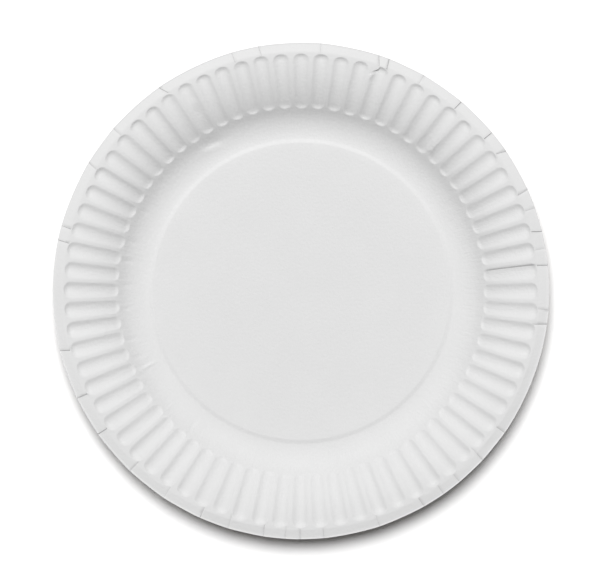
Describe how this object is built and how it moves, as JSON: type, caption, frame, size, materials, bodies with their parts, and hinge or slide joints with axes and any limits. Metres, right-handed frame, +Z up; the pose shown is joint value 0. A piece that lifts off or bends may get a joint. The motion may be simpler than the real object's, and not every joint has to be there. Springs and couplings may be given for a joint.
{
  "type": "paper plate",
  "caption": "Round white paper plate with a fluted rim, pressed from one disc of thin board.",
  "frame": {"origin": "centre of the plate, on the surface that its foot ring stands on", "axes": "+Z up out of the well, along the plate's axis of symmetry; +X through the middle of a flute"},
  "size_m": [0.23, 0.23, 0.0159],
  "materials": {
    "board": "matt"
  },
  "bodies": {
    "root": {"paper_plate": "board"}
  },
  "joints": []
}
